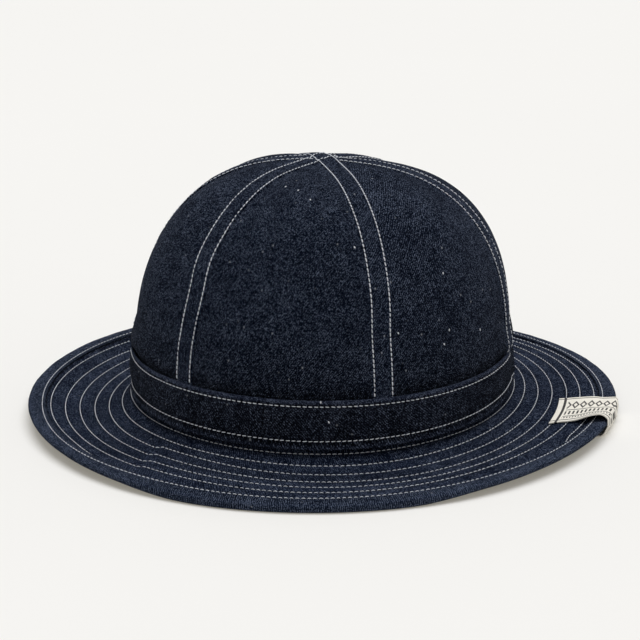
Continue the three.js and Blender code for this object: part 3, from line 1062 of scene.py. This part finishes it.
def label_material():
    """Cream tape with border lines and a plain woven ornament of bars and lozenges."""
    material, nodes, surface = new_material("woven label")
    if nodes is None:
        return material
    yarns = nodes.add("ShaderNodeUVMap", uv_map="weave").outputs[0]
    axes = nodes.split(yarns)
    across, along = axes[0], axes[1]
    half = LABEL_WIDTH / 2
    marks = stripe(nodes, nodes.math("ABSOLUTE", across), half - 1.9, 0.35)
    inside = nodes.range(nodes.math("ABSOLUTE", across), half - 3.2, half - 3.5)
    end_line = stripe(nodes, along, LABEL_LENGTH - 1.6, 0.55)
    marks = nodes.higher(marks, end_line)
    body = nodes.range(along, LABEL_LENGTH - 3.0, LABEL_LENGTH - 3.4)

    def beat(pitch):
        return nodes.math("FRACT", nodes.math("DIVIDE", along, pitch))

    def lozenges(middle, reach, pitch, fullness):
        wave = nodes.away(beat(pitch), 0.5)
        offset = nodes.math("DIVIDE", nodes.minus(across, middle), reach)
        height = nodes.math("ABSOLUTE", offset)
        total = nodes.plus(nodes.times(wave, 2.0), height)
        ring = nodes.away(total, 0.75)
        return nodes.range(ring, fullness + 0.12, fullness)

    def bars(middle, reach, pitch, share):
        on = nodes.range(beat(pitch), share, share + 0.08, 1.0, 0.0)
        row = nodes.range(nodes.away(across, middle), reach, reach - 0.3)
        return nodes.times(on, row)

    pattern = lozenges(5.2, 5.0, 3.6, 0.17)
    for ornament in (
        bars(-5.0, 2.4, 1.9, 0.42),
        stripe(nodes, across, -1.0, 0.35),
        stripe(nodes, across, -9.4, 0.35),
        bars(-11.2, 0.9, 1.3, 0.45),
    ):
        pattern = nodes.higher(pattern, ornament)
    pattern = nodes.times(nodes.times(pattern, inside), body)
    marks = nodes.higher(marks, pattern)
    ragged = nodes.noise(yarns, 2.6, 3.0, 0.7)
    marks = nodes.times(marks, nodes.range(ragged, 0.30, 0.5, 0.7, 1.0))
    wefts = nodes.math("SINE", nodes.times(across, LABEL_YARN_BEAT))
    warps = nodes.math("SINE", nodes.times(along, LABEL_YARN_BEAT))
    crossed = nodes.times(wefts, warps)
    soil = nodes.noise(yarns, 0.22, 4.0, 0.6)
    cream = colours().label
    tape = nodes.blend("MIX", nodes.range(soil, 0.35, 0.7), four(cream), four(cream, 0.93))
    gaps = nodes.range(crossed, -0.2, 1.0, 0.0, 0.14)
    tape = nodes.blend("MIX", gaps, tape, four(cream, 0.6))
    marked = nodes.blend("MIX", marks, tape, four(colours().label_mark))
    nodes.feed(surface.inputs["Base Color"], marked)
    nodes.feed(surface.inputs["Roughness"], nodes.range(soil, 0.3, 0.7, 0.75, 0.9))
    height = nodes.minus(crossed, nodes.times(marks, 0.6))
    raise_surface(nodes, surface, height, 0.35, 0.0003)
    surface.inputs["Specular IOR Level"].default_value = 0.2
    return material


def crown_denim():
    return denim("crown denim", colours().crown)


def reverse_denim():
    return denim("denim reverse", colours().reverse, show=0.3, contrast=0.5, flecks=0.3)


# Crown


def lengths_along(points):
    """How far along a path of points each of them is."""
    lengths = [0.0]
    for here, there in zip(points, points[1:]):
        lengths.append(lengths[-1] + (there - here).length)
    return lengths


def seam_pucker(along, away, seed):
    """Small gathers that the tight stitching draws up beside a seam."""
    gather = noise_at(along / 3.4, seed, 0)
    slow = noise_at(along / 14.0, seed, 5)
    return (0.22 * gather + 0.25 * slow) * hump(away, 7.0)


def build_panel(index):
    start, end = seam_turn(index), seam_turn(index + 1)
    middle_turn = (start + end) / 2
    columns, rows = 40, SEAM_ROWS

    def place(right, up):
        return crown_point(mix(start, end, right), up)

    middles = [crown_point(middle_turn, row / rows) for row in range(rows + 1)]
    widths = [math.hypot(point.x, point.y) * math.radians(end - start) for point in middles]
    lengths = lengths_along(middles)

    def weave(right, up):
        return ((right - 0.5) * widths[round(up * rows)] + 200 * index, lengths[round(up * rows)])

    def relief(right, up):
        width = widths[round(up * rows)]
        from_start = right * width
        from_end = (1 - right) * width
        along = lengths[round(up * rows)]
        inner = smooth(2, 14, width)
        wave = 0.5 * noise_at(from_start / 26 + 9 * index, along / 30, 1)
        fine = 0.10 * noise_at(from_start / 7 + 9 * index, along / 8, 2)
        pull = seam_pucker(along, from_start, 11 + index)
        pull += seam_pucker(along, from_end, 12 + index)
        ease = math.sin(math.pi * right)
        return inner * (wave * ease + fine + pull)

    def shade(right, up):
        width = widths[round(up * rows)]
        near = min(right, 1 - right) * width
        above = max(0.0, up * rows - FOOT_SHARE * rows)
        # Painted shade: a dark line where the crown's cloth goes in behind the hatband's top edge,
        # and a fainter darkening over the lowest 20 mm of the crown above the hatband
        crease_shade = 1.1 * math.exp(-above / 1.1)
        low = 0.35 * (1 - smooth(0, 20, above))
        return 0.10 * hump(near - 6.5, 1.6) - crease_shade - low

    name = "panel_" + PANELS[index]
    piece = cloth_sheet("cloth_" + name, columns, rows, place, weave, relief, shade=shade)
    give_wall(piece, CROWN_WALL, reverse=True)
    dress(piece, "crown_denim", crown_denim(), reverse_denim(), nodes=("crown_" + name,))


def lap_profile(across, fold):
    """Height of a lap over the panels, across millimetres from its seam."""
    side = across * fold
    ramp = smooth(-LAP_HALF_WIDTH - 1.2, -LAP_STITCH + 0.4, side)
    rise = mix(-0.5, LAP_RISE, ramp)
    for stitch in (-LAP_STITCH, LAP_STITCH):
        rise -= 0.30 * hump(side - stitch, 0.55)
    if side > LAP_HALF_WIDTH - 0.35:
        rise -= 1.4 * smooth(LAP_HALF_WIDTH - 0.35, LAP_HALF_WIDTH + LAP_EDGE, side)
    return rise


def build_lap(name, halves):
    """A lap along one seam, or over the top along two seams that meet."""
    columns = 26
    rows = SEAM_ROWS * len(halves)
    low = -LAP_HALF_WIDTH - LAP_OVERLAP
    high = LAP_HALF_WIDTH + LAP_EDGE
    fold = SEAMS[halves[0]]["fold"]

    def seam_share(up):
        if len(halves) == 1:
            return halves[0], up * (1 - LAP_SHORTFALL), 1
        if up <= 0.5:
            return halves[0], 2 * up, 1
        return halves[1], 2 - 2 * up, -1

    def side_at(right):
        return mix(low, high, right) if fold > 0 else mix(-high, -low, right)

    def place(right, up):
        index, share, sign = seam_share(up)
        return seam_point(index, share, side_at(right) * sign)

    lengths = lengths_along([place(0.5, row / rows) for row in range(rows + 1)])

    def weave(right, up):
        return (side_at(right) + 1300 + 60 * halves[0], lengths[round(up * rows)])

    def relief(right, up):
        side = side_at(right)
        rise = lap_profile(side, fold)
        along = lengths[round(up * rows)]
        body = smooth(-LAP_HALF_WIDTH, -LAP_STITCH, side * fold)
        rise += body * 0.26 * noise_at(along / 3.2, side / 6, 20 + halves[0])
        rise += body * 0.20 * noise_at(along / 9.0, side / 9, 30 + halves[0])
        middle = place(right, up)
        if len(halves) == 2:
            return rise + apex_rise(middle)
        return rise - 0.8 * hump(math.hypot(middle.x, middle.y), 7)

    def shade(right, up):
        side = side_at(right) * fold
        edge = hump(side - LAP_HALF_WIDTH + 0.3, 0.5)
        # Painted shade along the lap's two stitch grooves
        groove_shade = hump(abs(side) - LAP_STITCH, 0.7)
        return 0.10 + 0.25 * edge - 0.12 * groove_shade

    piece = cloth_sheet(name, columns, rows, place, weave, relief, shade=shade)
    give_wall(piece, LAP_WALL, rounding=0.2)
    dress(piece, "crown_denim", crown_denim())


def lap_row(index, across, until):
    """A row of stitching along a seam, as a path over the cloth."""
    fold = SEAMS[index]["fold"]

    def beside(side, up):
        return seam_point(index, up, side)

    def point(share):
        base = seam_point(index, share, across)
        normal = numeric_normal(beside, across, share, 0.5, 0.004)
        if normal.z < 0 and base.z > 100:
            normal = -normal
        rise = lap_profile(across, fold) + 0.06
        if math.hypot(base.x, base.y) < 30:
            rise += apex_rise(base)
            if index not in LONG_SEAM:
                rise += max(0.0, lap_profile(over_long_lap(base), 1))
        return base + normal * rise, normal

    return lambda share: point(mix(FOOT_SHARE * 0.9, until, share))


def row_end(index, across):
    """How far up a seam its row of stitching goes before the long lap covers it."""
    if index in LONG_SEAM:
        return 1.0
    if index == 0:
        return 1.035
    up = 0.85
    while up < 0.999 and abs(over_long_lap(seam_point(index, up, across))) > LAP_HALF_WIDTH + 0.4:
        up += 0.004
    return up


def build_crown():
    for index in range(len(PANELS)):
        build_panel(index)
    build_lap("felled_lap_long", LONG_SEAM)
    for index in range(len(SEAMS)):
        if index not in LONG_SEAM:
            build_lap("felled_lap_" + str(index + 1), (index,))
    rows = []
    for index in range(len(SEAMS)):
        for across in (-LAP_STITCH, LAP_STITCH):
            rows.append((lap_row(index, across, row_end(index, across)), 0.12))
    piece = sew("stitches_crown", rows, slimness=0.96, spacing=0.9, drawn=0.97)
    dress(piece, "seam_thread", thread_material())


# Hatband


def band_relief(share, turn):
    lower, upper = band_share(1), band_share(3)
    grooves = hump(share - lower, 0.045) + hump(share - upper, 0.045)
    puff = 0.5 * math.sin(math.pi * min(1, max(0, (share - lower) / (upper - lower)))) ** 0.7
    ripple = 0.25 * noise_at(turn / 9, share * 2, 30)
    fine = 0.10 * noise_at(turn / 2.2, share * 6, 31)
    joint = BAND_JOINT_RISE * hump(turn - BAND_JOINT, 1.3)
    joint -= 0.35 * hump(turn - BAND_JOINT + BAND_JOINT_STEP, 1.2)
    return puff - 0.28 * grooves + ripple + fine + joint * smooth(0.0, 0.15, share)


def build_band():
    columns, rows = 300, 26
    around = way_round()

    def share_at(up):
        return min(1.0, max(0.0, (up - BAND_EDGE) / (1 - 2 * BAND_EDGE)))

    def curl_at(up):
        """How far the sheet has curled inwards beyond an edge of the hatband."""
        return (max(0.0, BAND_EDGE - up) + max(0.0, up - 1 + BAND_EDGE)) / BAND_EDGE

    def place(right, up):
        turn = 360 * right
        point = band_point(turn, share_at(up))
        curl = curl_at(up)
        if curl:
            axis = Vector((point.x, point.y, 0)).normalized()
            point -= axis * 1.3 * curl
            point.z += (-0.3 if up > 0.5 else 0.3) * curl * curl
        return point

    def weave(right, up):
        return (right * around + 2000, up * BAND_SHEET_HEIGHT)

    def relief(right, up):
        return band_relief(share_at(up), 360 * right) * (1 - curl_at(up))

    def shade(right, up):
        turn = 360 * right
        share = share_at(up)
        # Painted highlight: the folded hems at the hatband's top and lower edges are made paler,
        # where they catch the light
        hem_highlight = 1.5 * smooth(0.875, 0.91, share) + 1.1 * (1 - smooth(0.055, 0.095, share))
        # Painted shade along the hatband's two stitch grooves
        groove_shade = 0.0
        for level in (1, 3):
            groove_shade += 0.9 * hump(share - band_share(level), 0.028)
        # Painted light and shade of small folds in the hatband, with a highlight on the ridge at
        # its joint and shade in the dip before it
        fold_shading = 0.5 * noise_at(turn / 3.2, share * 1.3, 60)
        fold_shading += 0.25 * noise_at(turn / 1.1, share * 2.5, 61)
        fold_shading += 0.5 * hump(turn - BAND_JOINT, 1.6)
        fold_shading -= 0.7 * hump(turn - BAND_JOINT + BAND_JOINT_STEP, 1.2)
        fold_shading *= smooth(0, 0.3, share) * (1 - smooth(0.8, 0.9, share))
        # Painted shade where the sheet curls in at the hatband's edges
        return hem_highlight - groove_shade - 1.6 * curl_at(up) + fold_shading

    piece = cloth_sheet("cloth_hatband", columns, rows, place, weave, relief, True, shade)
    give_wall(piece, BAND_WALL * 0.6)
    material = denim("hatband denim", colours().band, turned=True, show=0.0045)
    dress(piece, "band_denim", material, nodes=("hatband",))

    def row(level, gap):
        share = band_share(level)

        def point(along):
            turn = mix(BAND_JOINT + gap, BAND_JOINT + 360 - gap, along) % 360
            normal = numeric_normal(band_point, turn, share, 0.5, 0.03)
            return band_point(turn, share) + normal * (band_relief(share, turn) + 0.12), normal

        return point

    rows = [(row(1, 0.5), 0.10), (row(3, BAND_JOINT_GAP), -0.06)]
    piece = sew("stitches_hatband", rows, RING_SAMPLES, 0.74, drawn=0.95)
    dress(piece, "seam_thread", thread_material())


# Brim, binding and label


def build_brim():
    columns, rows = 360, 96
    inner, outer = BRIM_RINGS[0][0], BOARD_EDGE - 0.3
    around = way_round()

    def offset_at(up):
        return mix(outer, inner, up)

    def place(right, up):
        return brim_point(360 * right, offset_at(up))

    def weave(right, up):
        return (right * around * 1.2 + 4000, -offset_at(up))

    def shade(right, up):
        offset = offset_at(up)
        turn = 360 * right
        tone_and_shade = 0.0
        # Painted shade: the brim is darkened along each row of stitching, where the cloth sinks
        # between the puffs, and in a dark line just inside the binding's inner edge, where the
        # binding shades it
        for row in BRIM_ROWS:
            away = offset - row - row_shift(row, turn)
            tone_and_shade -= 0.65 * hump(away, 0.75)
        tone_and_shade -= 1.3 * hump(offset - BINDING_INNER + 0.2, 0.8)
        return tone_and_shade + 0.12 + wander(turn, offset / 9, 0.3)

    piece = cloth_sheet("cloth_brim", columns, rows, place, weave, closed=True, shade=shade)
    give_wall(piece, BRIM_BOARD)
    material = denim("brim denim", colours().brim, tilt=0.5, show=0.0072, contrast=2.6)
    dress(piece, "brim_denim", material, nodes=("brim",))

    def row(offset, lift, side):
        def point(along):
            turn = 360 * along
            here = offset + row_shift(offset, turn) + wander(turn, offset, 0.35)
            normal = numeric_normal(brim_point, turn, here, 0.5, -0.6)
            height = lift if side > 0 else -BRIM_BOARD - lift
            return board_point(turn, here) + normal * height, normal * side

        return point

    for name, lift, side, drawn in (
        ("stitches_brim", -0.02, 1, 0.93),
        ("stitches_under_brim", 0.0, -1, 0.86),
    ):
        rings = [(row(offset, lift, side), 0.0) for offset in BRIM_ROWS]
        piece = sew(name, rings, RING_SAMPLES, 0.74, drawn=drawn)
        dress(piece, "seam_thread", thread_material())


def build_binding():
    columns, rows = 360, 44
    around = way_round(40)
    sections = [binding_section(360 * step / columns) for step in range(columns)]

    def place(right, up):
        step = round(right * columns) % columns
        return along_polyline(sections[step], up)

    def weave(right, up):
        return (right * around + 6000, up * BINDING_SHEET_HEIGHT)

    def relief(right, up):
        turn = 360 * right
        ripple = 0.10 * noise_at(turn / 1.6, up * 3, 40)
        ripple += 0.14 * noise_at(turn / 6, up * 2, 41)
        return ripple * smooth(0.18, 0.36, up)

    def shade(right, up):
        edge = 0.30 * hump(up - 0.52, 0.07)
        # Painted shade along the binding's row of stitching, and dark where the binding's inner
        # edge turns under
        groove_shade = 0.5 * hump(up - 0.83, 0.025) + smooth(0.93, 1.0, up)
        return edge - groove_shade + wander(360 * right, up * 2, 0.25)

    piece = cloth_sheet(
        "cloth_edge_binding", columns, rows, place, weave, relief, closed=True, shade=shade)
    give_wall(piece, BINDING_SHEET_WALL)
    material = denim("binding denim", colours().binding, tilt=0.06, pitch=0.9, depth=1.1,
                     show=0.019, contrast=2.1)
    dress(piece, "binding_denim", material, nodes=("edge_binding",))

    def row(along):
        turn = 360 * along
        away = apart(turn, BINDING_STRAY["turn"])
        stray = BINDING_STRAY["size"] * (1 - smooth(0, BINDING_STRAY["reach"], away))
        normal = numeric_normal(board_point, turn, BINDING_ROW + stray, 0.5, -0.6)
        lift = BINDING_SKIN + 0.14 * smooth(0, 1, stray)
        return board_point(turn, BINDING_ROW + stray) + normal * lift, normal

    piece = sew("stitches_binding", [(row, 0.0)], RING_SAMPLES, 0.76, drawn=0.86)
    dress(piece, "seam_thread", thread_material())


def build_label():
    columns, rows = 30, 60
    low, high = -LABEL_UNDER_LENGTH - 1.5, LABEL_LENGTH + 1.5

    def place(right, up):
        return label_point(mix(low, high, up), mix(-LABEL_WIDTH / 2, LABEL_WIDTH / 2, right))

    def weave(right, up):
        return (mix(-LABEL_WIDTH / 2, LABEL_WIDTH / 2, right), mix(low, high, up))

    def relief(right, up):
        return 0.12 * noise_at(right * 3, up * 6, 50)

    piece = cloth_sheet("cloth_edge_label", columns, rows, place, weave, relief)
    give_wall(piece, LABEL_WALL * 0.8, rounding=0.15)
    dress(piece, "label_weave", label_material(), nodes=("edge_label",))


def build_slubs():
    """Pale knots of weft that stand out of the denim."""
    draw = random.Random(SEED)
    bm = bmesh.new()
    spots = []
    for turn, share in CROWN_SLUBS:
        up = mix(FOOT_SHARE, 1, share)
        spots.append((crown_point(turn, up), numeric_normal(crown_point, turn, up, 0.5, 0.004)))
    for turn, share in BAND_SLUBS:
        height = band_relief(share, turn)
        normal = numeric_normal(band_point, turn, share, 0.5, 0.03)
        spots.append((band_point(turn, share) + normal * height, normal))
    for point, normal in spots:
        made = bmesh.ops.create_icosphere(bm, subdivisions=1, radius=1)
        side = normal.cross(Vector((0, 0, 1))).normalized()
        run = (side * draw.uniform(-0.6, 0.6) + normal.cross(side)).normalized()
        across = normal.cross(run)
        for vert in made["verts"]:
            x, y, z = vert.co
            height = z * 0.25 + 0.15
            vert.co = (point + run * x * 0.65 + across * y * 0.38 + normal * height) * MM
    for face in bm.faces:
        face.smooth = True
    dress(new_piece("slub_knots", bm), "seam_thread", thread_material())


# Stage


def build_stage():
    scene = bpy.context.scene
    scene.view_settings.view_transform = "Standard"
    scene.view_settings.look = "None"
    scene.view_settings.exposure = 0.0
    scene.view_settings.gamma = 1.0
    bm = bmesh.new()
    bmesh.ops.create_grid(bm, x_segments=2, y_segments=2, size=FLOOR_SIZE)
    floor = new_piece("floor", bm)
    material, nodes, surface = new_material("pale floor")
    place = nodes.add("ShaderNodeTexCoord").outputs["Object"]
    paper = nodes.noise(place, 3.0, 3.0, 0.5)
    pale = colours().floor
    mottled = nodes.blend("MIX", nodes.range(paper, 0.3, 0.7), four(pale), four(pale, 0.99))
    nodes.feed(surface.inputs["Base Color"], mottled)
    surface.inputs["Roughness"].default_value = 0.9
    surface.inputs["Specular IOR Level"].default_value = 0.1
    # Painted glow of the floor, which pales the shadows near the hat
    surface.inputs["Emission Color"].default_value = four(colours().floor_glow)
    surface.inputs["Emission Strength"].default_value = 1.0
    floor.data.materials.append(material)

    world = bpy.data.worlds.new("studio")
    world.use_nodes = True
    sky = world.node_tree.nodes["Background"]
    sky.inputs[0].default_value = (1.0, 1.0, 1.0, 1)
    sky.inputs[1].default_value = SKY_STRENGTH
    scene.world = world

    sun_data = bpy.data.lights.new("soft_top", "SUN")
    sun_data.energy = SUN_STRENGTH
    sun_data.angle = math.radians(SUN_SPREAD)
    sun = bpy.data.objects.new("soft_top", sun_data)
    sun.rotation_euler = (math.radians(SUN_TILT), math.radians(SUN_ROLL), 0)
    scene.collection.objects.link(sun)

    azimuth = math.radians(VIEW_AZIMUTH)
    elevation = math.radians(VIEW_ELEVATION)
    forward = Vector((
        -math.sin(azimuth) * math.cos(elevation),
        math.cos(azimuth) * math.cos(elevation),
        -math.sin(elevation),
    ))
    right = Vector((math.cos(azimuth), math.sin(azimuth), 0))
    target = right * VIEW_SIDE + Vector((0, 0, VIEW_HEIGHT))
    camera_data = bpy.data.cameras.new("camera")
    camera_data.lens = VIEW_LENS
    camera_data.sensor_width = 36
    camera_data.clip_end = 50
    camera = bpy.data.objects.new("camera", camera_data)
    upward = right.cross(forward)
    turned = Matrix((right, upward, -forward)).transposed().to_4x4()
    camera.matrix_world = Matrix.Translation(target - forward * VIEW_DISTANCE) @ turned
    scene.collection.objects.link(camera)
    scene.camera = camera


class HAT_OT_stage(bpy.types.Operator):
    """Lay the pale floor and set up the soft light and the camera"""

    bl_idname = "hat.stage"
    bl_label = "Stage"

    def execute(self, context):
        build_stage()
        return {"FINISHED"}


class HAT_OT_crown(bpy.types.Operator):
    """Cut and sew the six panels of the crown"""

    bl_idname = "hat.crown"
    bl_label = "Crown"

    def execute(self, context):
        build_crown()
        return {"FINISHED"}


class HAT_OT_band(bpy.types.Operator):
    """Sew the hatband round the foot of the crown"""

    bl_idname = "hat.band"
    bl_label = "Hatband"

    def execute(self, context):
        build_band()
        return {"FINISHED"}


class HAT_OT_brim(bpy.types.Operator):
    """Quilt the brim"""

    bl_idname = "hat.brim"
    bl_label = "Brim"

    def execute(self, context):
        build_brim()
        return {"FINISHED"}


class HAT_OT_binding(bpy.types.Operator):
    """Fold the binding over the brim's edge"""

    bl_idname = "hat.binding"
    bl_label = "Edge binding"

    def execute(self, context):
        build_binding()
        return {"FINISHED"}


class HAT_OT_label(bpy.types.Operator):
    """Fold the woven label over the brim's edge"""

    bl_idname = "hat.label"
    bl_label = "Label"

    def execute(self, context):
        build_label()
        return {"FINISHED"}


class HAT_OT_slubs(bpy.types.Operator):
    """Raise the pale knots in the weave"""

    bl_idname = "hat.slubs"
    bl_label = "Slub knots"

    def execute(self, context):
        build_slubs()
        return {"FINISHED"}


OPERATORS = (
    HAT_OT_stage, HAT_OT_crown, HAT_OT_band, HAT_OT_brim, HAT_OT_binding, HAT_OT_label,
    HAT_OT_slubs,
)


class HAT_PT_panel(bpy.types.Panel):
    """Sizes, colours and pieces of the hat"""

    bl_idname = "HAT_PT_panel"
    bl_label = "Denim hat"
    bl_space_type = "VIEW_3D"
    bl_region_type = "UI"
    bl_category = "Hat"

    def draw(self, context):
        layout = self.layout
        for group in (context.scene.hat_sizes, context.scene.hat_colours):
            box = layout.box()
            for name in group.__annotations__:
                box.prop(group, name)
        for operator in OPERATORS:
            layout.operator(operator.bl_idname)


CLASSES = (HatSizes, HatColours) + OPERATORS + (HAT_PT_panel,)


def register():
    for made in CLASSES:
        bpy.utils.register_class(made)
    bpy.types.Scene.hat_sizes = bpy.props.PointerProperty(type=HatSizes)
    bpy.types.Scene.hat_colours = bpy.props.PointerProperty(type=HatColours)


def unregister():
    del bpy.types.Scene.hat_colours
    del bpy.types.Scene.hat_sizes
    for made in reversed(CLASSES):
        bpy.utils.unregister_class(made)


def main():
    register()
    bpy.ops.hat.stage()
    bpy.ops.hat.crown()
    bpy.ops.hat.band()
    bpy.ops.hat.brim()
    bpy.ops.hat.binding()
    bpy.ops.hat.label()
    bpy.ops.hat.slubs()


if __name__ == "__main__":
    main()
